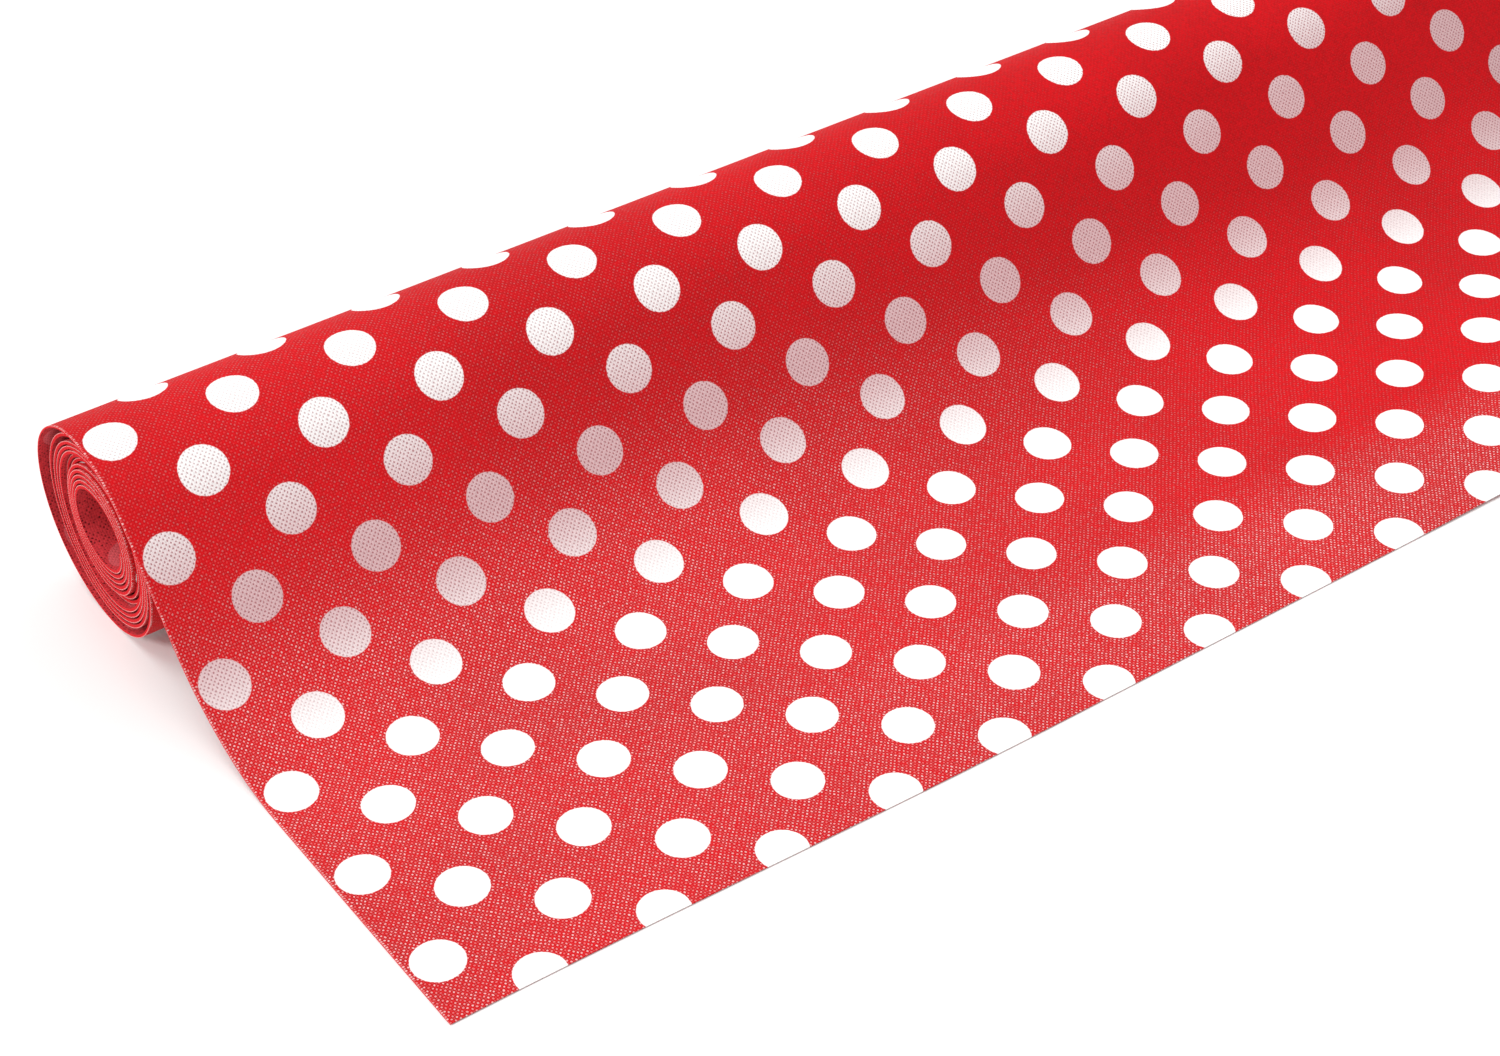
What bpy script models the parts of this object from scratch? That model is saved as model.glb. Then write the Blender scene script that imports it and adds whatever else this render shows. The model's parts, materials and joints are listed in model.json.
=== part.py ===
"""A coreless roll of printed cotton cloth with its free end drawn off and laid flat.

Metres, +X along the roll, -Y towards the free edge, +Z up. The origin is on the
table, under the middle of the whole part. The cloth is one web. It is built as the
lengths that move on their own: the turns wound round the hollow, and the panels
between the lines where the loose end bends.
"""

import math

import bmesh
import bpy
from mathutils import Vector

# The web
WEB_WIDTH = 0.450
CLOTH_THICKNESS = 0.0006

# The roll
ROLL_RADIUS = 0.02175
TURNS = 11.9
TURN_GAP = 0.00045
OUTER_TURN_SLACK = 0.0009
DIVE_STARTS_AT = 190.0
TELESCOPE = 0.0016
OUTER_TURN_ENDS_AT = 540.0
MIDDLE_TURNS_END_AT = 2340.0
SEGMENT_ANGLE = 15.0

# The loose end
DEPARTURE_ANGLE = 50.0
SWEEP_RADIUS = 0.0468
LYING_LENGTH = 0.0635
FALL_PANELS = 2
SWEEP_PANELS = 4
LYING_PANELS = 5
SWEEP_SEGMENTS = 3

# Between neighbouring lengths of cloth
SEAM_GAP = 0.0003

PRINT_RED = (0.60, 0.009, 0.016, 1.0)
SHADED_RED = (0.46, 0.010, 0.018, 1.0)
CORE_RED = (0.36, 0.012, 0.020, 1.0)
CLOTH_ROUGHNESS = 0.85

TURN_PITCH = CLOTH_THICKNESS + TURN_GAP
WEB_RADIUS = ROLL_RADIUS - CLOTH_THICKNESS / 2
SWEEP_ANGLE = math.radians(DEPARTURE_ANGLE)


def spiral_radius(angle):
    """Radius of the web's middle surface, angle degrees back from the roll's top.

    The outer turn is round until it has rested on the table. From there it dives
    under the line where the loose end leaves, and the regular spiral begins.
    """
    dive_ends_at = 360 - DEPARTURE_ANGLE
    dived = (angle - DIVE_STARTS_AT) / (dive_ends_at - DIVE_STARTS_AT)
    radius = WEB_RADIUS - (OUTER_TURN_SLACK + TURN_PITCH) * min(max(dived, 0), 1)
    return radius - TURN_PITCH * max(angle - dive_ends_at, 0) / 360


def spiral_point(angle):
    """(y, z) on the web's middle surface, with the roll's axis at y = 0."""
    radius = spiral_radius(angle)
    turn = math.radians(angle)
    return Vector((radius * math.sin(turn), ROLL_RADIUS + radius * math.cos(turn)))


def fall_length():
    """Length of the straight fall that brings the sweep down to the table."""
    start_height = spiral_point(-DEPARTURE_ANGLE).y - CLOTH_THICKNESS / 2
    sweep_height = SWEEP_RADIUS * (1 - math.cos(SWEEP_ANGLE))
    return (start_height - sweep_height) / math.sin(SWEEP_ANGLE)


def loose_point(along):
    """(y, z) on the loose end's middle surface, along metres from the roll."""
    falling = min(along, fall_length())
    point = spiral_point(-DEPARTURE_ANGLE)
    point += falling * Vector((-math.cos(SWEEP_ANGLE), -math.sin(SWEEP_ANGLE)))
    slope = SWEEP_ANGLE - min(max(along - falling, 0) / SWEEP_RADIUS, SWEEP_ANGLE)
    point.x -= SWEEP_RADIUS * (math.sin(SWEEP_ANGLE) - math.sin(slope))
    point.y -= SWEEP_RADIUS * (math.cos(slope) - math.cos(SWEEP_ANGLE))
    point.x -= max(along - falling - SWEEP_RADIUS * SWEEP_ANGLE, 0)
    return point


def bend_lines():
    """Distances from the roll of every line where the loose end bends."""
    lines = [0.0]
    for count, length in (
        (FALL_PANELS, fall_length()),
        (SWEEP_PANELS, SWEEP_RADIUS * SWEEP_ANGLE),
        (LYING_PANELS, LYING_LENGTH),
    ):
        start = lines[-1]
        lines += [start + length * (i + 1) / count for i in range(count)]
    return lines


def part_shift():
    """y that moves the roll's axis so that the part is centred on the origin."""
    free_edge = loose_point(bend_lines()[-1]).x
    return -(ROLL_RADIUS + free_edge) / 2


def cloth_material(name, colour):
    material = bpy.data.materials.new(name)
    material.use_nodes = True
    shader = material.node_tree.nodes["Principled BSDF"]
    shader.inputs["Base Color"].default_value = colour
    shader.inputs["Roughness"].default_value = CLOTH_ROUGHNESS
    shader.inputs["Metallic"].default_value = 0.0
    return material


def side_normals(line):
    """Mitred offsets, one per point, that keep both faces at half the thickness."""
    runs = [(b - a).normalized() for a, b in zip(line, line[1:])]
    before = [runs[0]] + runs
    after = runs + [runs[-1]]
    offsets = []
    for a, b in zip(before, after):
        middle = (a + b).normalized()
        offsets.append(Vector((-middle.y, middle.x)) / middle.dot(a))
    return offsets


def ribbon_mesh(name, line, pivot, sideways):
    """The cloth along line as one closed body, measured from its pivot."""
    half = CLOTH_THICKNESS / 2
    offsets = side_normals(line)
    rim = [p + half * n for p, n in zip(line, offsets)]
    rim += [p - half * n for p, n in reversed(list(zip(line, offsets)))]
    ends = (sideways - WEB_WIDTH / 2, sideways + WEB_WIDTH / 2)
    work = bmesh.new()
    near, far = (
        [work.verts.new((x, p.x - pivot.x, p.y - pivot.y)) for p in rim] for x in ends
    )
    count = len(rim)
    steps = len(line) - 1
    for i in range(count):
        j = (i + 1) % count
        work.faces.new((near[i], near[j], far[j], far[i]))
    for i in range(steps):
        back = count - 1 - i
        work.faces.new((near[i + 1], near[i], near[back], near[back - 1]))
        work.faces.new((far[i], far[i + 1], far[back - 1], far[back]))
    bmesh.ops.recalc_face_normals(work, faces=work.faces)
    mesh = bpy.data.meshes.new(name)
    work.to_mesh(mesh)
    work.free()
    return mesh


def cloth_piece(name, line, pivot, sideways, material, parent=None):
    """One length of the web, with its origin on the axis that it turns about."""
    piece = bpy.data.objects.new(name, ribbon_mesh(name, line, pivot, sideways))
    piece.data.materials.append(material)
    bpy.context.collection.objects.link(piece)
    piece.location = (0.0, pivot.x + part_shift(), pivot.y)
    if parent is not None:
        piece.parent = parent
        piece.location -= parent.matrix_world.translation
    bpy.context.view_layer.update()
    return piece


def wound_line(start, end, start_gap, end_gap):
    """Middle line of the wound web between two angles, short of each by its gap."""
    first = start + math.degrees(start_gap / spiral_radius(start))
    last = end - math.degrees(end_gap / spiral_radius(end))
    line = [spiral_point(first)]
    angle = start + SEGMENT_ANGLE
    while angle < end - SEGMENT_ANGLE / 2:
        line.append(spiral_point(angle))
        angle += SEGMENT_ANGLE
    line.append(spiral_point(last))
    return line


def build_roll():
    """The outer turn, and the turns that can twist tighter inside it."""
    axis = Vector((0.0, ROLL_RADIUS))
    half_gap = SEAM_GAP / 2
    shift = TELESCOPE / 2
    last_angle = 360 * TURNS - DEPARTURE_ANGLE
    outer = cloth_piece(
        "outer_turn",
        wound_line(-DEPARTURE_ANGLE, OUTER_TURN_ENDS_AT, half_gap, half_gap),
        axis,
        -shift,
        cloth_material("outer_turn_cloth", PRINT_RED),
    )
    middle = cloth_piece(
        "middle_turns",
        wound_line(OUTER_TURN_ENDS_AT, MIDDLE_TURNS_END_AT, half_gap, half_gap),
        axis,
        shift,
        cloth_material("middle_turns_cloth", SHADED_RED),
        outer,
    )
    cloth_piece(
        "core_turns",
        wound_line(MIDDLE_TURNS_END_AT, last_angle, half_gap, 0.0),
        axis,
        shift,
        cloth_material("core_turns_cloth", CORE_RED),
        middle,
    )
    return outer


def panel_names():
    names = [f"fall_panel_{i + 1}" for i in range(FALL_PANELS)]
    names += [f"sweep_panel_{i + 1}" for i in range(SWEEP_PANELS)]
    return names + [f"lying_panel_{i + 1}" for i in range(LYING_PANELS)]


def panel_line(start, end, segments):
    return [loose_point(start + (end - start) * i / segments) for i in range(segments + 1)]


def build_loose_end(outer):
    """The panels from the roll to the free edge, each hung on the one before."""
    lines = bend_lines()
    parent = outer
    for i, name in enumerate(panel_names()):
        start = lines[i] + SEAM_GAP / 2
        is_free_edge = i == len(lines) - 2
        end = lines[i + 1] if is_free_edge else lines[i + 1] - SEAM_GAP / 2
        segments = SWEEP_SEGMENTS if name.startswith("sweep") else 1
        parent = cloth_piece(
            name,
            panel_line(start, end, segments),
            loose_point(lines[i]),
            -TELESCOPE / 2,
            cloth_material(f"{name}_cloth", PRINT_RED),
            parent,
        )


def clear_scene():
    for thing in list(bpy.data.objects):
        bpy.data.objects.remove(thing)


clear_scene()
build_loose_end(build_roll())
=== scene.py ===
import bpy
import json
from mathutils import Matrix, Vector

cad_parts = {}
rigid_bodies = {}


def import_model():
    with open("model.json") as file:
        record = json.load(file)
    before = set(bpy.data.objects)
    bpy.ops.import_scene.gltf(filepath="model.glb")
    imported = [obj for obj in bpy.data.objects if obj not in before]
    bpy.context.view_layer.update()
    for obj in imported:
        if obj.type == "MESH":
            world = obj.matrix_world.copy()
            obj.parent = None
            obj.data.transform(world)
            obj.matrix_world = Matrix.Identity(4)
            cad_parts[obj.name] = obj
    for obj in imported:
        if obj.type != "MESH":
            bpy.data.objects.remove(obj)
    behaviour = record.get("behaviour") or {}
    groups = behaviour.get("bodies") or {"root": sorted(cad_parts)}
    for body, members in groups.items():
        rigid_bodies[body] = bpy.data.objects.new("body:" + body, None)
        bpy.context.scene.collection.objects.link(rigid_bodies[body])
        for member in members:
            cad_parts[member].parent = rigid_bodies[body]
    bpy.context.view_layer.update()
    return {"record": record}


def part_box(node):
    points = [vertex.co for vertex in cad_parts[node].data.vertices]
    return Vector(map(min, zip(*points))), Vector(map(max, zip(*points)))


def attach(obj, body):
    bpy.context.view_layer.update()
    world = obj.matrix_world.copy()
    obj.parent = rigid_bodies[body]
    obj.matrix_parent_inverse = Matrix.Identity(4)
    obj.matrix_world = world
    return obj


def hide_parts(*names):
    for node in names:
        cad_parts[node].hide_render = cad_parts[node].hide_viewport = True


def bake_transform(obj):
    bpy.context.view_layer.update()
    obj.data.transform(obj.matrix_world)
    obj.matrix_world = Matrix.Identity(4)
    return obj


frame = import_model()

import json
import math

import bpy
import numpy as np
from mathutils import Vector

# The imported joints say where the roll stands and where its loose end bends.
hinges = {joint["name"]: joint for joint in frame["record"]["behaviour"]["joints"]}


def lineOf(hinge):
    # a hinge runs along the roll, so its place is one point across it: y and z
    return np.array(hinges[hinge]["pos_m"][1:])


rollAxis = lineOf("wrap_tighten")
leavesRoll = lineOf("sheet_lift")
sweepStarts = lineOf("sweep_bend_1")
sweepEnds = lineOf("edge_curl_1")
sheetLow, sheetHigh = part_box("lying_panel_5")
freeEdgeY = sheetLow.y
sheetLeft = sheetLow.x
webWidth = sheetHigh.x - sheetLeft
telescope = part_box("middle_turns")[0].x - sheetLeft  # how far the inner turns sit inside the outer one

outerRadius = float(np.linalg.norm(leavesRoll - rollAxis))  # middle of the cloth, not its face
leavesAngle = math.atan2(*(leavesRoll - rollAxis))  # from the roll's top, positive to the back
fallSlope = -leavesAngle
fallLength = float(np.linalg.norm(sweepStarts - leavesRoll))
sweepRadius = float(np.linalg.norm(sweepEnds - sweepStarts)) / (2 * math.sin(fallSlope / 2))
sweepLength = sweepRadius * fallSlope
lyingLength = sweepEnds[0] - freeEdgeY
looseLength = fallLength + sweepLength + lyingLength

cloth = {
    "thickness": 0.00040,
    "threadSpacing": (0.000505, 0.000560),  # between the yarns that run along the web, and across it
    "gridSquare": 0.02570,  # dots stand on the corners and in the middle of each square
    "dotWidth": 0.0100,
    "firstDot": (0.0187, 0.02943),  # from the left cut side and from the free edge
    "creaseAngle": 50,  # faces that meet more sharply than this show as an edge
}

# Angles on the roll are degrees from its top towards the back, and count on turn after turn inwards.
wound = {
    "webLeaves": -50,  # the loose end leaves the roll here
    "turnPitch": 0.00105,  # each turn lies this much inside the one before
    "slack": 0.00050,  # the outermost turn stands off the rest
    "divesFrom": 190,
    "divesTo": 310,
    "webEnds": 4230,
    "middleBegins": (490, 590),  # the cloth bends from the outer turn to the middle ones here
    "coreBegins": (2290, 2390),
    "thickness": 0.00070,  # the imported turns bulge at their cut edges
    "packsOver": (60, 360),
    "bulge": 0.0010,  # the outermost turns stand off at the top and back
    "bulgeRises": (-50, 20),
    "bulgeFalls": (110, 178),
    "bulgeFades": (180, 700),
    "looseFrom": 2700,  # the turns round the hollow have gone slightly oval
    "ovality": 0.060,
    "rise": 0.0008,  # the hollow lies above the middle of the roll
    "risesFrom": 700,
    "liftsOver": 0.006,  # cloth still on the roll that starts to lift with the loose end
    "blendInset": 8.0,  # left unbent at each end of a length between two parts of the roll
    # how far in the left cut side lies at each angle, as a share of the telescoping
    "recessAngles": (-50, 60, 200, 360, 1650, 1900, 2300, 2650, 4230),
    "recess": (0, 0.05, 0.95, 1.0, 1.15, 1.9, 1.9, 1.1, 1.0),
}


def smooth(value, low, high):
    share = np.clip((np.asarray(value, float) - low) / (high - low), 0, 1)
    return share * share * (3 - 2 * share)


def woundRadius(degrees):
    dive = np.clip((degrees - wound["divesFrom"]) / (wound["divesTo"] - wound["divesFrom"]), 0, 1)
    later = np.maximum(degrees - wound["divesTo"], 0) / 360
    roundTheRoll = (degrees - wound["webLeaves"]) % 360 + wound["webLeaves"]
    bulge = smooth(roundTheRoll, *wound["bulgeRises"]) * (1 - smooth(roundTheRoll, *wound["bulgeFalls"]))
    bulge = wound["bulge"] * bulge * (1 - smooth(degrees, *wound["bulgeFades"]))
    return outerRadius + bulge - (wound["slack"] + wound["turnPitch"]) * dive - wound["turnPitch"] * later


def woundLine(degrees):
    # middle line of the cloth on the roll: y, z and the direction that the print faces
    turn = np.radians(degrees)
    loosened = smooth(degrees, wound["looseFrom"], wound["webEnds"])
    radius = woundRadius(degrees) * (1 - wound["ovality"] * loosened * np.cos(2 * turn))
    rise = wound["rise"] * smooth(degrees, wound["risesFrom"], wound["webEnds"])
    y = rollAxis[0] + radius * np.sin(turn)
    z = rollAxis[1] + radius * np.cos(turn) + rise
    return np.stack([y, z], 1), np.stack([np.sin(turn), np.cos(turn)], 1)


def looseLine(along):
    # the same for the loose end, by the distance from where it leaves the roll
    along = np.asarray(along, float)
    fall = np.array([-math.cos(fallSlope), -math.sin(fallSlope)])
    swept = np.clip(along - fallLength, 0, sweepLength) / sweepRadius
    slope = fallSlope - swept
    centre = np.array([sweepEnds[0], sweepEnds[1] + sweepRadius])
    points = leavesRoll + np.minimum(along, fallLength)[:, None] * fall
    onSweep = centre + sweepRadius * np.stack([np.sin(slope), -np.cos(slope)], 1)
    points = np.where((along > fallLength)[:, None], onSweep, points)
    lying = np.maximum(along - fallLength - sweepLength, 0)
    points = points - np.stack([lying, 0 * lying], 1)
    return points, np.stack([-np.sin(slope), np.cos(slope)], 1)


# distance from the free edge to each angle of the roll, so that the print runs on round it
halfDegree = 0.5
turnSteps = np.arange(math.degrees(leavesAngle), wound["webEnds"] + halfDegree, halfDegree)
turnPoints = woundLine(turnSteps)[0]
turnLengths = np.linalg.norm(np.diff(turnPoints, axis=0), axis=1)
turnRuns = looseLength + np.concatenate([[0], np.cumsum(turnLengths)])
print(f"web of {turnRuns[-1]:.3f} m, {looseLength:.4f} m of it loose")

faceSlot, backSlot, rimSlot = 0, 1, 2


def layCloth(name, rows, facing, runs, halves, shifts, columns, lift=None, trim=None):
    # One closed length of cloth with its print face, back and rims, mapped in metres: across the web
    # from its left side, and along it from the free edge. A cut side is mapped in shares of its
    # thickness instead, and in metres along it.
    widths = np.linspace(0, webWidth, columns)
    count = len(rows)
    shape = (count, columns)
    offset = np.zeros(shape) if lift is None else lift(runs[:, None], widths[None, :])
    trimmed = np.zeros(shape) if trim is None else trim(runs[:, None], widths[None, :])
    x = np.broadcast_to(sheetLeft + widths[None, :] + shifts[:, None], shape)
    layers = []
    for side in (halves[:, None], -halves[:, None]):
        y = rows[:, 0:1] + facing[:, 0:1] * (side + offset) + trimmed
        z = rows[:, 1:2] + facing[:, 1:2] * (side + offset)
        layers.append(np.stack([x, y, z], 2).reshape(-1, 3))
    vertices = np.concatenate(layers)
    back = count * columns

    def at(row, column):
        return row * columns + column

    def place(row, column):
        return (widths[column], runs[row] + trimmed[row, column])

    faces, uvs, kinds = [], [], []

    def addFace(corners, places, kind):
        faces.append(corners)
        uvs.append(places)
        kinds.append(kind)

    for row in range(count - 1):
        for column in range(columns - 1):
            around = [(row, column), (row, column + 1), (row + 1, column + 1), (row + 1, column)]
            quad = [at(*corner) for corner in around]
            places = [place(*corner) for corner in around]
            addFace(quad, places, faceSlot)
            addFace([i + back for i in reversed(quad)], places[::-1], backSlot)
    for row in range(count - 1):
        for column, order in ((0, 1), (columns - 1, -1)):
            first, second = at(row, column), at(row + 1, column)
            quad = [first, second, second + back, first + back]
            places = [(0, runs[row]), (0, runs[row + 1]), (1, runs[row + 1]), (1, runs[row])]
            addFace(quad[::order], places[::order], rimSlot)
    # the cloth is white before it is printed, so the print runs on over a cut across the web
    for column in range(columns - 1):
        for row, order in ((0, -1), (count - 1, 1)):
            first, second = at(row, column), at(row, column + 1)
            near, far = place(row, column), place(row, column + 1)
            quad = [first, second, second + back, first + back]
            addFace(quad[::order], [near, far, far, near][::order], faceSlot)

    mesh = bpy.data.meshes.new(name)
    mesh.from_pydata(vertices.tolist(), [], faces)
    mesh.polygons.foreach_set("material_index", kinds)
    layer = mesh.uv_layers.new(name="webMetres")
    layer.data.foreach_set("uv", np.array(uvs, np.float32).ravel())
    mesh.shade_smooth()
    mesh.set_sharp_from_angle(angle=math.radians(cloth["creaseAngle"]))
    mesh.update()
    piece = bpy.data.objects.new(name, mesh)
    bpy.context.scene.collection.objects.link(piece)
    for material in (printedFace, printedBack, rawEdge):
        mesh.materials.append(material)
    return piece


def linear(hexColour):
    channels = [int(hexColour[i:i + 2], 16) / 255 for i in (1, 3, 5)]
    return [c / 12.92 if c <= 0.04045 else ((c + 0.055) / 1.055) ** 2.4 for c in channels] + [1]


def addNode(tree, kind, links=None, **settings):
    made = tree.nodes.new(kind)
    for setting, value in settings.items():
        setattr(made, setting, value)
    for socket, value in (links or {}).items():
        if isinstance(value, bpy.types.NodeSocket):
            tree.links.new(value, made.inputs[socket])
        else:
            made.inputs[socket].default_value = value
    return made


def emptyMaterial(name):
    material = bpy.data.materials.new(name)
    material.use_nodes = True
    material.node_tree.nodes.clear()
    return material


weave = {
    "slowScale": 50,  # waves to the metre in which the yarns wander
    "slowSway": 1.2,  # and how many yarn spacings they stray
    "quickScale": 700,
    "quickSway": 0.8,
    "crown": 0.45,  # how much higher a yarn stands where it passes over another
    "slubScale": 0.9,  # thick and thin places, in waves to the yarn
    "fibreScale": 9000,  # loose fibres, drawn coarser than their real 0.015 mm so that they show
    "fibreHeight": 0.25,
    "bumpStrength": 0.3,
    "bumpHeight": 0.00008,
    "roughness": (0.72, 0.9),
    "cutRoughness": 0.88,
    "ior": 1.53,  # cellulose
    "specular": 0.10,
    "sheen": 0.02,
    "sheenRoughness": 0.5,
}

# the print side: clear white dots on a strong red, with pale flecks where the ink is thin and the lit floor
# is painted showing through, and painted shade on the dots where the cloth hangs
faceInksAndPaintedLight = {
    "red": "#CB0B15",
    "deepRed": "#BF0A13",
    "white": "#F8F6F5",
    "fleck": "#FFD6D5",
    "fleckAmount": 0.72,
    "fleckEverywhere": 0.0,
    # painted shade: the darker, pinker white of dots where the cloth hangs, and their dark pinholes
    "shadedHangingWhite": "#D6B3B5",
    "shadedPinhole": "#9C5058",
    "shadedPinholeAmount": 0.75,
}

# the back: a paler red that the dots only just show through, with dark flecks in its gaps that are painted
# shade
backInksAndPaintedShade = {
    "red": "#D63E45",
    "deepRed": "#C8343B",
    "white": "#D65A60",
    "fleck": "#4E070C",
    "fleckAmount": 0.9,
    "fleckEverywhere": 0.9,
    "shadedHangingWhite": "#D65A60",
    "shadedPinhole": "#4E070C",
    "shadedPinholeAmount": 0.9,
}

# Places on the web are metres from the left side or from the free edge.
# painted light: the pale flecks in the red's gaps are partly thin print and partly the lit floor painted in,
# so they are strongest where the cloth lies on the table
coverageAndGapLight = {
    "lowCrossing": (0.20, 0.75),  # of a yarn's full height: where a fleck begins and is whole
    "highCrossingTakes": 0.15,  # share of a low crossing's fleck that a high one has
    "unevenFrom": 0.15,
    "leastFleck": 0.30,
    "dye": (1.10, 0.88),  # some crossings took more dye than others
    "patchScale": 14,
    "patches": (0.35, 0.65),
    "gapInkLightShadeAlong": (0.122, 0.081),  # painted floor light in the gaps grows between these, from the roll towards the table
    "gapInkLightShadeOnRoll": 0.2,
    "gapInkLightShadeAcross": (0.04, 0.28),  # and is strongest at the left
    "gapInkLightShadeAtRight": 0.10,
    "gapInkLightShadeByEdge": (0.038, 0.012),  # strong all along the free edge, where the cloth lies on the floor
    "gapInkLightShadeAtEdge": 0.9,
}

# painted shade on the dots where the cloth hangs between the table and the roll
hangingShade = {
    "across": (0.18, 0.36),  # at the right the cloth lifts off and meets the roll further back
    "liftsOff": (0.074, 0.104),
    "liftsOffShift": 0.006,
    "meetsRoll": (0.137, 0.106),
    "meetsRollShift": -0.018,
    "pinholesFrom": (0.070, 0.100),
    "pinholesFade": (0.150, 0.120),
    "pinholesOnRoll": 0.35,
}

finish = {
    "dotRagged": 0.010,  # how far the yarns carry a dot's edge, in grid squares
    "dotSoftness": 0.004,
    "fibreReach": (0.00050, 0.00020),  # pale fibres along the left side
    "fibreAmount": 0.7,
    "fibreGap": (0.45, 0.85),
    "slub": (0.3, 0.7),
    "slubShade": (0.94, 1.04),
    "paintedShadeAtRight": 0.86,  # painted shade: the cloth is painted a little darker at its right end, where less light falls
    "paintedShadeFrom": (0.28, 0.40),
}


def yarnPattern(tree, place):
    # the yarns wander: slowly over 20 mm, and a little from one crossing to the next
    slow = addNode(tree, "ShaderNodeTexNoise", {"Vector": place, "Scale": weave["slowScale"], "Detail": 2},
                   noise_dimensions="2D").outputs["Color"]
    quick = addNode(tree, "ShaderNodeTexNoise", {"Vector": place, "Scale": weave["quickScale"], "Detail": 1},
                    noise_dimensions="2D").outputs["Color"]
    slowSway, quickSway = weave["slowSway"], weave["quickSway"]
    centre = -(slowSway + quickSway) / 2
    wander = addNode(tree, "ShaderNodeVectorMath",
                     {0: slow, 1: (slowSway, slowSway, 0), 2: (centre, centre, 0)},
                     operation="MULTIPLY_ADD").outputs[0]
    wander = addNode(tree, "ShaderNodeVectorMath", {0: quick, 1: (quickSway, quickSway, 0), 2: wander},
                     operation="MULTIPLY_ADD").outputs[0]
    perYarn = [1 / spacing for spacing in cloth["threadSpacing"]]
    threads = addNode(tree, "ShaderNodeVectorMath", {0: place, 1: (*perYarn, 0), 2: wander},
                      operation="MULTIPLY_ADD").outputs[0]
    across = addNode(tree, "ShaderNodeSeparateXYZ", {0: threads}).outputs
    yarns = []
    for direction in (0, 1):
        phase = addNode(tree, "ShaderNodeMath", {0: across[direction], 1: math.pi},
                        operation="MULTIPLY").outputs[0]
        wave = addNode(tree, "ShaderNodeMath", {0: phase}, operation="SINE").outputs[0]
        yarns.append(addNode(tree, "ShaderNodeMath", {0: wave}, operation="ABSOLUTE").outputs[0])
    both = addNode(tree, "ShaderNodeMath", {0: yarns[0], 1: yarns[1]}, operation="MULTIPLY").outputs[0]
    tops = []
    for yarn in yarns:
        tops.append(addNode(tree, "ShaderNodeMath", {0: both, 1: weave["crown"], 2: yarn},
                            operation="MULTIPLY_ADD").outputs[0])
    over = addNode(tree, "ShaderNodeTexChecker", {"Vector": threads, "Scale": 1}).outputs["Fac"]
    height = addNode(tree, "ShaderNodeMix", {0: over, 2: tops[0], 3: tops[1]}).outputs[0]
    cell = addNode(tree, "ShaderNodeVectorMath", {0: threads}, operation="FLOOR").outputs[0]
    chance = addNode(tree, "ShaderNodeTexWhiteNoise", {"Vector": cell}, noise_dimensions="2D").outputs[0]
    slub = addNode(tree, "ShaderNodeTexNoise",
                   {"Vector": threads, "Scale": weave["slubScale"], "Detail": 3},
                   noise_dimensions="2D").outputs["Fac"]
    return {"yarns": yarns, "both": both, "over": over, "height": height, "chance": chance, "slub": slub}


def lowCrossings(tree, pattern):
    # every second crossing lies low, so the print takes less ink there, no two alike; the flecks laid there
    # are partly painted light and shade seen through the gaps
    lowest, highest = coverageAndGapLight["lowCrossing"]
    crossing = addNode(tree, "ShaderNodeMapRange", {"Value": pattern["both"], 1: lowest, 2: highest},
                       interpolation_type="SMOOTHSTEP").outputs[0]
    either = addNode(tree, "ShaderNodeMapRange",
                     {"Value": pattern["over"], 3: coverageAndGapLight["highCrossingTakes"], 4: 1.0}).outputs[0]
    either = addNode(tree, "ShaderNodeMath", {0: crossing, 1: either}, operation="MULTIPLY").outputs[0]
    low = addNode(tree, "ShaderNodeMath", {0: crossing, 1: pattern["over"]},
                  operation="MULTIPLY").outputs[0]
    uneven = addNode(tree, "ShaderNodeMapRange",
                     {"Value": pattern["chance"], 1: coverageAndGapLight["unevenFrom"], 2: 1.0,
                      3: coverageAndGapLight["leastFleck"], 4: 1.0}).outputs[0]
    fleck = addNode(tree, "ShaderNodeMath", {0: either, 1: uneven}, operation="MULTIPLY").outputs[0]
    return low, fleck


def dotCover(tree, place, slub):
    # the distance to the nearest dot, on the corners and in the middles of the squares
    square = 1 / cloth["gridSquare"]
    firstX, firstRun = cloth["firstDot"]
    grid = addNode(tree, "ShaderNodeVectorMath",
                   {0: place, 1: (square, square, 0), 2: (-firstX * square, -firstRun * square, 0)},
                   operation="MULTIPLY_ADD").outputs[0]
    nearest = []
    for shift in (0, 0.5):
        moved = addNode(tree, "ShaderNodeVectorMath", {0: grid, 1: (shift, shift, 0)},
                        operation="ADD").outputs[0]
        moved = addNode(tree, "ShaderNodeVectorMath",
                        {0: moved, 1: (0.5, 0.5, 0.5), 2: (-0.5, -0.5, -0.5)},
                        operation="WRAP").outputs[0]
        nearest.append(addNode(tree, "ShaderNodeVectorMath", {0: moved},
                               operation="LENGTH").outputs["Value"])
    middle = addNode(tree, "ShaderNodeMath", {0: nearest[0], 1: nearest[1]}, operation="MINIMUM").outputs[0]
    ragged = addNode(tree, "ShaderNodeMath", {0: slub, 1: finish["dotRagged"], 2: middle},
                     operation="MULTIPLY_ADD").outputs[0]
    rim = cloth["dotWidth"] / 2 * square + finish["dotRagged"] / 2
    softness = finish["dotSoftness"]
    return addNode(tree, "ShaderNodeMapRange", {"Value": ragged, 1: rim + softness, 2: rim - softness},
                   interpolation_type="SMOOTHSTEP").outputs[0]


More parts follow.
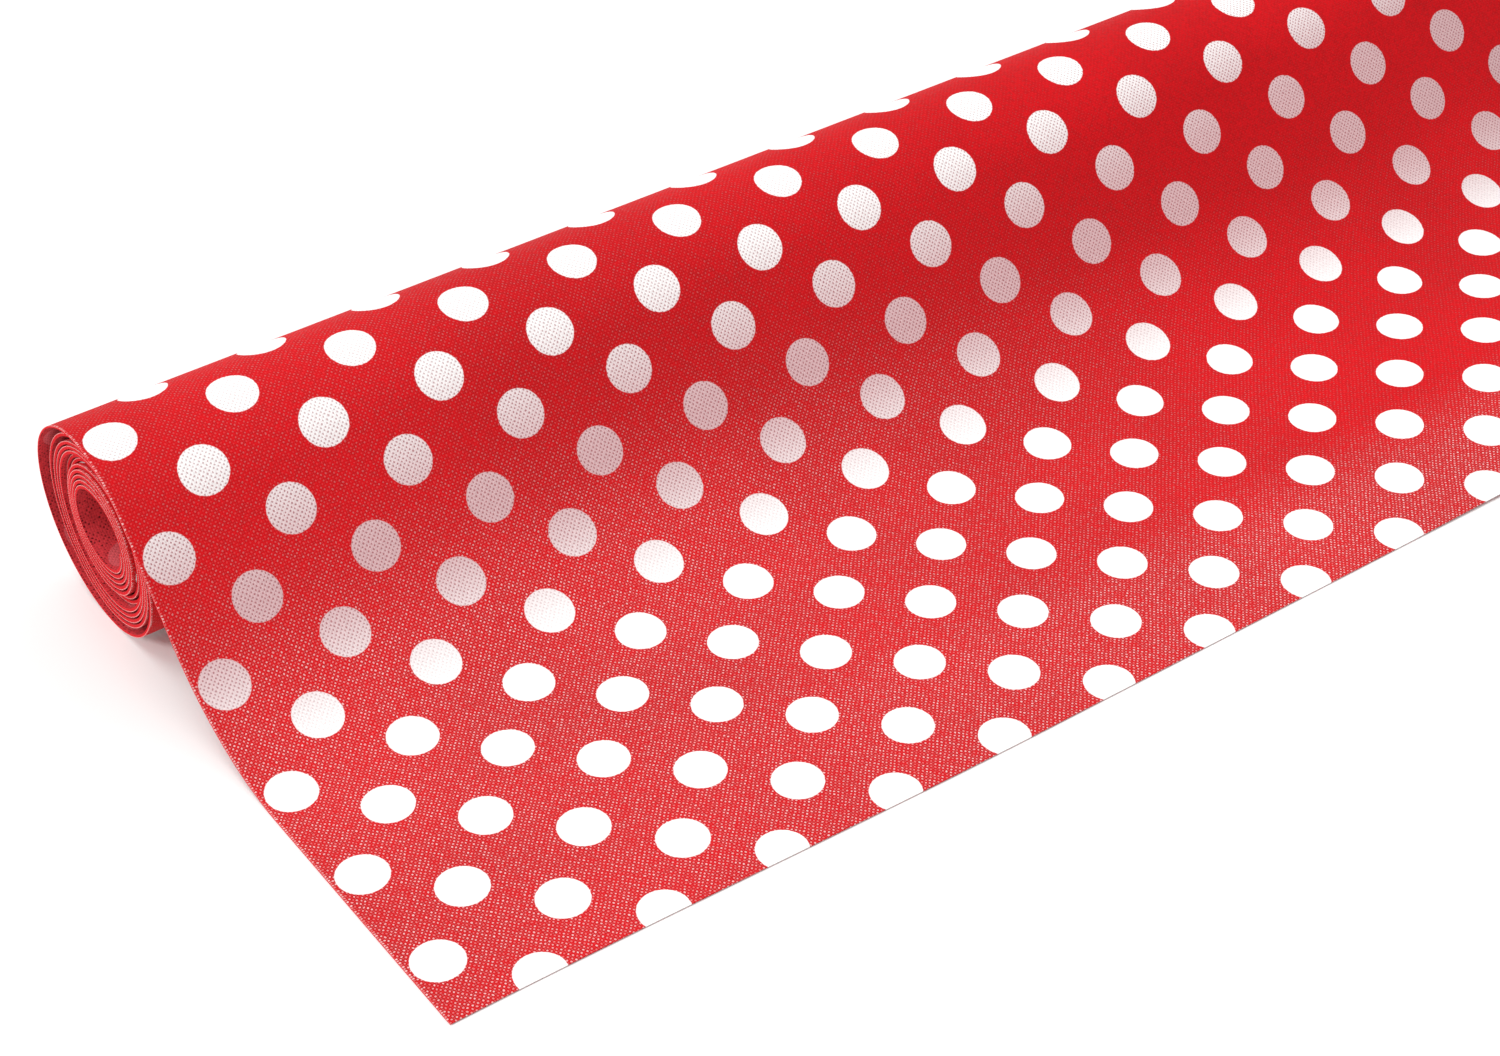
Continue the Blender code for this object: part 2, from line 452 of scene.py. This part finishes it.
def groundInkAndGapLight(tree, place, where, chance, fleck, inksAndPaintedLight):
    # red that varies slowly in patches, and from one crossing to the next
    patchy = addNode(tree, "ShaderNodeTexNoise",
                     {"Vector": place, "Scale": coverageAndGapLight["patchScale"], "Detail": 3},
                     noise_dimensions="2D").outputs["Fac"]
    lightest, deepest = coverageAndGapLight["patches"]
    patch = addNode(tree, "ShaderNodeMapRange", {"Value": patchy, 1: lightest, 2: deepest}).outputs[0]
    red = addNode(tree, "ShaderNodeMix", {0: patch, 6: linear(inksAndPaintedLight["red"]), 7: linear(inksAndPaintedLight["deepRed"])},
                  data_type="RGBA").outputs[2]
    most, least = coverageAndGapLight["dye"]
    dyed = addNode(tree, "ShaderNodeMapRange", {"Value": chance, 3: most, 4: least}).outputs[0]
    red = addNode(tree, "ShaderNodeVectorMath", {0: red, "Scale": dyed}, operation="SCALE").outputs[0]

    # pale flecks in the gaps, most of all over the front left of the loose end: partly thin print, partly
    # painted light of the white floor seen through the gaps
    start, stop = coverageAndGapLight["gapInkLightShadeAlong"]
    fromRoll = addNode(tree, "ShaderNodeMapRange",
                       {"Value": where[1], 1: start, 2: stop, 3: coverageAndGapLight["gapInkLightShadeOnRoll"], 4: 1.0},
                       interpolation_type="SMOOTHSTEP").outputs[0]
    start, stop = coverageAndGapLight["gapInkLightShadeAcross"]
    toRight = addNode(tree, "ShaderNodeMapRange",
                      {"Value": where[0], 1: start, 2: stop, 3: 1.0, 4: coverageAndGapLight["gapInkLightShadeAtRight"]},
                      interpolation_type="SMOOTHSTEP").outputs[0]
    start, stop = coverageAndGapLight["gapInkLightShadeByEdge"]
    front = addNode(tree, "ShaderNodeMapRange",
                    {"Value": where[1], 1: start, 2: stop,
                     3: inksAndPaintedLight["fleckEverywhere"], 4: coverageAndGapLight["gapInkLightShadeAtEdge"]},
                    interpolation_type="SMOOTHSTEP").outputs[0]
    gapInkLightShade = addNode(tree, "ShaderNodeMath", {0: fromRoll, 1: toRight, 2: front},
                   operation="MULTIPLY_ADD", use_clamp=True).outputs[0]
    gapInkLightShade = addNode(tree, "ShaderNodeMath", {0: gapInkLightShade, 1: inksAndPaintedLight["fleckAmount"]},
                   operation="MULTIPLY").outputs[0]
    gapInkLightShade = addNode(tree, "ShaderNodeMath", {0: gapInkLightShade, 1: fleck}, operation="MULTIPLY").outputs[0]
    return addNode(tree, "ShaderNodeMix", {0: gapInkLightShade, 6: red, 7: linear(inksAndPaintedLight["fleck"])},
                   data_type="RGBA").outputs[2]


def dotInkAndShade(tree, where, low, inksAndPaintedLight):
    # painted shade: where the cloth hangs clear of the table, red shows through its dots and their low
    # crossings, painted as darker, pinker dots with dark pinholes
    start, stop = hangingShade["across"]
    rightwards = addNode(tree, "ShaderNodeMapRange", {"Value": where[0], 1: start, 2: stop}).outputs[0]
    lifting = addNode(tree, "ShaderNodeMath", {0: rightwards, 1: hangingShade["liftsOffShift"], 2: where[1]},
                      operation="MULTIPLY_ADD").outputs[0]
    start, stop = hangingShade["liftsOff"]
    nearTable = addNode(tree, "ShaderNodeMapRange", {"Value": lifting, 1: start, 2: stop},
                        interpolation_type="SMOOTHSTEP").outputs[0]
    meeting = addNode(tree, "ShaderNodeMath", {0: rightwards, 1: hangingShade["meetsRollShift"], 2: where[1]},
                      operation="MULTIPLY_ADD").outputs[0]
    start, stop = hangingShade["meetsRoll"]
    nearRoll = addNode(tree, "ShaderNodeMapRange", {"Value": meeting, 1: start, 2: stop},
                       interpolation_type="SMOOTHSTEP").outputs[0]
    # clear is the mask of painted shade on the hanging dots
    clear = addNode(tree, "ShaderNodeMath", {0: nearTable, 1: nearRoll}, operation="MULTIPLY").outputs[0]
    white = addNode(tree, "ShaderNodeMix",
                    {0: clear, 6: linear(inksAndPaintedLight["white"]), 7: linear(inksAndPaintedLight["shadedHangingWhite"])},
                    data_type="RGBA").outputs[2]
    start, stop = hangingShade["pinholesFrom"]
    offTable = addNode(tree, "ShaderNodeMapRange",
                       {"Value": where[1], 1: start, 2: stop, 3: 0.0, 4: inksAndPaintedLight["shadedPinholeAmount"]},
                       interpolation_type="SMOOTHSTEP").outputs[0]
    start, stop = hangingShade["pinholesFade"]
    onRoll = addNode(tree, "ShaderNodeMapRange",
                     {"Value": meeting, 1: start, 2: stop, 3: hangingShade["pinholesOnRoll"], 4: 1.0},
                     interpolation_type="SMOOTHSTEP").outputs[0]
    pinholes = addNode(tree, "ShaderNodeMath", {0: low, 1: offTable}, operation="MULTIPLY").outputs[0]
    pinholes = addNode(tree, "ShaderNodeMath", {0: pinholes, 1: onRoll}, operation="MULTIPLY").outputs[0]
    return addNode(tree, "ShaderNodeMix", {0: pinholes, 6: white, 7: linear(inksAndPaintedLight["shadedPinhole"])},
                   data_type="RGBA").outputs[2]


def cottonSurface(tree, colour, roughness, bump):
    # dyed cotton is nearly matt, with only a trace of sheen from its loose fibres
    shader = addNode(tree, "ShaderNodeBsdfPrincipled", {
        "Base Color": colour,
        "Roughness": roughness,
        "Normal": bump.outputs[0],
        "IOR": weave["ior"],
        "Specular IOR Level": weave["specular"],
        "Sheen Weight": weave["sheen"],
        "Sheen Roughness": weave["sheenRoughness"],
    })
    addNode(tree, "ShaderNodeOutputMaterial", {"Surface": shader.outputs[0]})


def wovenCotton(name, inksAndPaintedLight):
    # plain-woven cotton printed with a screen: flat, matt colour broken up by the grain of the crossings,
    # with painted light and shade laid into it
    material = emptyMaterial(name)
    tree = material.node_tree
    place = addNode(tree, "ShaderNodeUVMap", uv_map="webMetres").outputs["UV"]
    where = addNode(tree, "ShaderNodeSeparateXYZ", {0: place}).outputs
    pattern = yarnPattern(tree, place)
    slub = pattern["slub"]
    low, fleck = lowCrossings(tree, pattern)
    dot = dotCover(tree, place, slub)
    ground = groundInkAndGapLight(tree, place, where, pattern["chance"], fleck, inksAndPaintedLight)
    white = dotInkAndShade(tree, where, low, inksAndPaintedLight)
    colour = addNode(tree, "ShaderNodeMix", {0: dot, 6: ground, 7: white}, data_type="RGBA").outputs[2]

    # pale fibres stand out of the raw left side, between one yarn and the next
    start, stop = finish["fibreReach"]
    fibres = addNode(tree, "ShaderNodeMapRange",
                     {"Value": where[0], 1: start, 2: stop, 3: 0.0, 4: finish["fibreAmount"]},
                     interpolation_type="SMOOTHSTEP").outputs[0]
    start, stop = finish["fibreGap"]
    stub = addNode(tree, "ShaderNodeMapRange", {"Value": pattern["yarns"][1], 1: start, 2: stop},
                   interpolation_type="SMOOTHSTEP").outputs[0]
    fibres = addNode(tree, "ShaderNodeMath", {0: fibres, 1: stub}, operation="MULTIPLY").outputs[0]
    fibres = addNode(tree, "ShaderNodeMath", {0: fibres, 1: pattern["chance"]},
                     operation="MULTIPLY").outputs[0]
    colour = addNode(tree, "ShaderNodeMix", {0: fibres, 6: colour, 7: linear(inksAndPaintedLight["fleck"])},
                     data_type="RGBA").outputs[2]

    # thick and thin places of the yarns
    thin, thick = finish["slub"]
    palest, deepest = finish["slubShade"]
    shade = addNode(tree, "ShaderNodeMapRange",
                    {"Value": slub, 1: thin, 2: thick, 3: palest, 4: deepest}).outputs[0]
    # painted shade: far darkens the colour towards the right end
    start, stop = finish["paintedShadeFrom"]
    far = addNode(tree, "ShaderNodeMapRange",
                  {"Value": where[0], 1: start, 2: stop, 3: 1.0, 4: finish["paintedShadeAtRight"]},
                  interpolation_type="SMOOTHSTEP").outputs[0]
    shade = addNode(tree, "ShaderNodeMath", {0: shade, 1: far}, operation="MULTIPLY").outputs[0]
    colour = addNode(tree, "ShaderNodeVectorMath", {0: colour, "Scale": shade}, operation="SCALE").outputs[0]
    smoothest, roughest = weave["roughness"]
    rough = addNode(tree, "ShaderNodeMapRange",
                    {"Value": slub, 1: thin, 2: thick, 3: smoothest, 4: roughest}).outputs[0]
    fibre = addNode(tree, "ShaderNodeTexNoise",
                    {"Vector": place, "Scale": weave["fibreScale"], "Detail": 2},
                    noise_dimensions="2D").outputs["Fac"]
    relief = addNode(tree, "ShaderNodeMath", {0: fibre, 1: weave["fibreHeight"], 2: pattern["height"]},
                     operation="MULTIPLY_ADD").outputs[0]
    bump = addNode(tree, "ShaderNodeBump", {
        "Height": relief, "Strength": weave["bumpStrength"], "Distance": weave["bumpHeight"]})
    cottonSurface(tree, colour, rough, bump)
    return material


cutEdge = {
    "red": "#C8101B",
    "pale": "#FFE4E0",
    "paleAmount": 0.8,
    "yarnEnd": (0.46, 0.22),
    "frayScale": 900,
    "fray": (0.38, 0.62),
    "paleDepth": (0.30, 0.16),  # shares of the thickness, from the print side
    "bumpStrength": 0.5,
    "bumpHeight": 0.0001,
}


def cutCottonEdge(name):
    # raw cut side: dyed yarn ends, and along the print side a thin broken line of pale fibres
    material = emptyMaterial(name)
    tree = material.node_tree
    place = addNode(tree, "ShaderNodeUVMap", uv_map="webMetres").outputs["UV"]
    split = addNode(tree, "ShaderNodeSeparateXYZ", {0: place}).outputs
    step = addNode(tree, "ShaderNodeMath", {0: split[1], 1: 1 / cloth["threadSpacing"][1]},
                   operation="MULTIPLY").outputs[0]
    yarn = addNode(tree, "ShaderNodeMath", {0: step, 1: 0.5, 2: -0.5}, operation="WRAP").outputs[0]
    yarn = addNode(tree, "ShaderNodeMath", {0: yarn}, operation="ABSOLUTE").outputs[0]
    start, stop = cutEdge["yarnEnd"]
    yarnEnd = addNode(tree, "ShaderNodeMapRange", {"Value": yarn, 1: start, 2: stop},
                      interpolation_type="SMOOTHSTEP").outputs[0]
    fray = addNode(tree, "ShaderNodeTexNoise",
                   {"Vector": place, "Scale": cutEdge["frayScale"], "Detail": 3},
                   noise_dimensions="2D").outputs["Fac"]
    start, stop = cutEdge["fray"]
    frayed = addNode(tree, "ShaderNodeMapRange", {"Value": fray, 1: start, 2: stop}).outputs[0]
    start, stop = cutEdge["paleDepth"]
    line = addNode(tree, "ShaderNodeMapRange", {"Value": split[0], 1: start, 2: stop},
                   interpolation_type="SMOOTHSTEP").outputs[0]
    pale = addNode(tree, "ShaderNodeMath", {0: line, 1: yarnEnd}, operation="MULTIPLY").outputs[0]
    pale = addNode(tree, "ShaderNodeMath", {0: pale, 1: frayed}, operation="MULTIPLY").outputs[0]
    pale = addNode(tree, "ShaderNodeMath", {0: pale, 1: cutEdge["paleAmount"]},
                   operation="MULTIPLY").outputs[0]
    colour = addNode(tree, "ShaderNodeMix",
                     {0: pale, 6: linear(cutEdge["red"]), 7: linear(cutEdge["pale"])},
                     data_type="RGBA").outputs[2]
    bump = addNode(tree, "ShaderNodeBump", {
        "Height": yarnEnd, "Strength": cutEdge["bumpStrength"], "Distance": cutEdge["bumpHeight"]})
    cottonSurface(tree, colour, weave["cutRoughness"], bump)
    return material


# both cotton materials carry painted light and shade besides the print: floor light in the gaps, shaded
# hanging dots, a darker right end
printedFace = wovenCotton("Plain-woven cotton, screen-printed face", faceInksAndPaintedLight)
printedBack = wovenCotton("Plain-woven cotton, back with the print showing through", backInksAndPaintedShade)
rawEdge = cutCottonEdge("Cotton, raw cut edge")
print("cloth materials made")

startAngle = math.degrees(leavesAngle + wound["liftsOver"] / outerRadius)
middleFrom, middleTo = wound["middleBegins"]
coreFrom, coreTo = wound["coreBegins"]


def woundPiece(name, fromAngle, toAngle, step, columns):
    degrees = np.linspace(fromAngle, toAngle, int((toAngle - fromAngle) / step) + 1)
    rows, facing = woundLine(degrees)
    runs = np.interp(degrees, turnSteps, turnRuns)
    shifts = telescope * np.interp(degrees, wound["recessAngles"], wound["recess"])
    packed = smooth(degrees, *wound["packsOver"])
    halves = (cloth["thickness"] + (wound["thickness"] - cloth["thickness"]) * packed) / 2
    piece = layCloth(name, rows, facing, runs, halves, shifts, columns)
    return piece, float(runs[-1] - runs[0])


# each with the degrees from row to row of its points, the points across, and the neighbour it touches
for name, body, fromAngle, toAngle, step, columns, slot, touches in (
    ("outerTurn", "outer_turn", startAngle, middleFrom, 2.5, 120, "printed_cotton", "middleTurns"),
    ("middleTurns", "middle_turns", middleTo, coreFrom, 3, 24, "wound_cotton", "outerTurn"),
    ("coreTurns", "core_turns", coreTo, wound["webEnds"], 4, 24, "wound_cotton", "middleTurns"),
):
    piece, length = woundPiece(name, fromAngle, toAngle, step, columns)
    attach(piece, body)
    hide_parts(body)

for name, bodies, (fromAngle, toAngle), step, columns, below in (
    ("outerToMiddle", ("outer_turn", "middle_turns"), wound["middleBegins"], 2.5, 24, "outerTurn"),
    ("middleToCore", ("middle_turns", "core_turns"), wound["coreBegins"], 2.5, 24, "middleTurns"),
):
    piece, length = woundPiece(name, fromAngle, toAngle, step, columns)
    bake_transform(piece)
print("roll wound")

looseEnd = {
    "columnSpacing": 0.0028,
    "rowSpacing": 0.0011,
    "fewestRows": 3,
    "blendMargin": 0.1,  # share of each length that follows one panel alone, at each end
    "settles": 0.00008,  # the thin cloth lies lower on the table than the solid that it stands for
    "edgeThickness": 0.35,  # share of the thickness left at the cut edge
    "edgeThins": 0.0025,
    "cutShort": 0.0030,  # the free edge is cut a little askew, shortest at the left
    "cutEvensOut": 0.13,
    "cutGain": 0.75,
    "cutReach": 0.012,  # the last of the cloth gives way to the cut
    "waveHeight": 0.0042,  # a low wave under the cloth at the right of the free edge
    "waveCentre": 0.130,
    "waveReach": 0.140,
    "waveFromEdge": 0.024,
    "waveDepth": 0.030,
    "waveStarts": 0.03,  # from where the cloth leaves the roll
}


def looseLift(runs, widths):
    x = sheetLeft + widths
    side = np.clip(1 - ((x - looseEnd["waveCentre"]) / looseEnd["waveReach"]) ** 2, 0, 1) ** 2
    onTable = np.exp(-((runs - looseEnd["waveFromEdge"]) / looseEnd["waveDepth"]) ** 2)
    onTable = onTable * smooth(looseLength - runs, 0.0, looseEnd["waveStarts"])
    settled = -looseEnd["settles"] * smooth(looseLength - runs, fallLength, fallLength + sweepLength)
    return looseEnd["waveHeight"] * side * onTable + settled


def cutAskew(runs, widths):
    short = 1 - looseEnd["cutGain"] * smooth(widths, 0, looseEnd["cutEvensOut"])
    return looseEnd["cutShort"] * short * smooth(-runs, -looseEnd["cutReach"], 0)


aHair = 1e-6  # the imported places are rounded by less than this


def distanceOf(joint):
    # distance along the cloth from where it leaves the roll to a bend line
    y = lineOf(joint)[0]
    if y >= sweepStarts[0] - aHair:
        return float(np.linalg.norm(lineOf(joint) - leavesRoll))
    if y >= sweepEnds[0]:
        slope = math.asin((y - sweepEnds[0]) / sweepRadius)
        return fallLength + sweepRadius * (fallSlope - slope)
    return fallLength + sweepLength + sweepEnds[0] - y


# the loose end: one length of cloth over each bend line, cut in the middle of each panel
panelJoints = ["sheet_lift", "fall_bend"]
panelJoints += [f"sweep_bend_{i}" for i in range(1, 5)]
panelJoints += [f"edge_curl_{i}" for i in range(1, 6)]
bends = [distanceOf(joint) for joint in panelJoints]
cuts = [-wound["liftsOver"]] + [(a + b) / 2 for a, b in zip(bends, bends[1:])] + [looseLength]
columns = int(webWidth / looseEnd["columnSpacing"]) + 1
for i, joint in enumerate(panelJoints):
    parent, child = hinges[joint]["parent"], hinges[joint]["child"]
    start, end = cuts[i], cuts[i + 1]
    rowCount = max(looseEnd["fewestRows"], int(round((end - start) / looseEnd["rowSpacing"])) + 1)
    along = np.linspace(start, end, rowCount)
    rows, facing = looseLine(np.maximum(along, 0))
    onRoll = along < 0
    if onRoll.any():
        degrees = math.degrees(leavesAngle) - np.degrees(along[onRoll] / outerRadius)
        rows[onRoll], facing[onRoll] = woundLine(degrees)
    runs = looseLength - along
    thinning = (1 - looseEnd["edgeThickness"]) * smooth(runs, 0, looseEnd["edgeThins"])
    halves = cloth["thickness"] / 2 * (looseEnd["edgeThickness"] + thinning)
    # rows run from the roll to the free edge, so they are turned round to keep the print face up
    last = i == len(panelJoints) - 1
    piece = layCloth(f"looseEnd{i + 1}", rows[::-1], facing[::-1], runs[::-1], halves[::-1], 0 * runs,
                     columns, looseLift, cutAskew if last else None)
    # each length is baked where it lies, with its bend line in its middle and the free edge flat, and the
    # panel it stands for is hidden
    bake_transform(piece)
    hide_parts(child)
print(f"loose end laid in {len(panelJoints)} lengths")

studio = {
    "floorHalf": 20.0,
    "floorLevel": -0.00005,
    "floorColour": "#F2F2F1",
    "floorRoughness": 0.9,
    "floorSpecular": 0.1,
    "keyStrength": 1.0,
    "keySpread": 40,
    "keyFrom": (-0.15, 0.22, 0.95),
    "sideStrength": 1.5,
    "sideSpread": 15,
    "sideFrom": (-0.80, 0.25, 0.50),
    "frontStrength": 0.4,
    "frontSpread": 60,
    "frontFrom": (-0.60, -0.70, 0.40),
    "fill": 0.69,
}

half, level = studio["floorHalf"], studio["floorLevel"]
corners = [(-half, -half, level), (half, -half, level), (half, half, level), (-half, half, level)]
floorMesh = bpy.data.meshes.new("floor")
floorMesh.from_pydata(corners, [], [(0, 1, 2, 3)])
floor = bpy.data.objects.new("floor", floorMesh)
bpy.context.scene.collection.objects.link(floor)
# uncoated white paper: no gloss, so the floor only carries soft shadows
paper = emptyMaterial("Matt white paper")
paperShader = addNode(paper.node_tree, "ShaderNodeBsdfPrincipled", {
    "Base Color": linear(studio["floorColour"]),
    "Roughness": studio["floorRoughness"],
    "Specular IOR Level": studio["floorSpecular"],
})
addNode(paper.node_tree, "ShaderNodeOutputMaterial", {"Surface": paperShader.outputs[0]})
floorMesh.materials.append(paper)

world = bpy.data.worlds.new("studio")
world.use_nodes = True
world.node_tree.nodes.clear()
sky = addNode(world.node_tree, "ShaderNodeBackground", {"Color": (1, 1, 1, 1), "Strength": studio["fill"]})
addNode(world.node_tree, "ShaderNodeOutputWorld", {"Surface": sky.outputs[0]})
bpy.context.scene.world = world

for name in ("key", "side", "front"):
    light = bpy.data.lights.new(name, "SUN")
    light.energy = studio[f"{name}Strength"]
    light.angle = math.radians(studio[f"{name}Spread"])
    lamp = bpy.data.objects.new(name, light)
    lamp.rotation_euler = Vector(studio[f"{name}From"]).to_track_quat("Z", "Y").to_euler()
    bpy.context.scene.collection.objects.link(lamp)

view = {
    "lens": 74.38,
    "sensor": 36,
    "aim": (-0.10649, 0.00563, 0.0),
    "distance": 0.62764,
    "turned": 35.737,  # degrees from straight on to the free edge, towards the roll's left end
    "raised": 38.83,
    "clip": (0.01, 100),
}

cameraData = bpy.data.cameras.new("camera")
cameraData.lens = view["lens"]
cameraData.sensor_width = view["sensor"]
cameraData.clip_start, cameraData.clip_end = view["clip"]
camera = bpy.data.objects.new("camera", cameraData)
turned, raised = math.radians(view["turned"]), math.radians(view["raised"])
towards = Vector((math.sin(turned) * math.cos(raised), math.cos(turned) * math.cos(raised),
                  -math.sin(raised)))
camera.location = Vector(view["aim"]) - view["distance"] * towards
camera.rotation_euler = towards.to_track_quat("-Z", "Y").to_euler()
bpy.context.scene.collection.objects.link(camera)
bpy.context.scene.camera = camera
bpy.context.scene.view_settings.view_transform = "Standard"  # keeps the red of the print saturated
print("studio set")
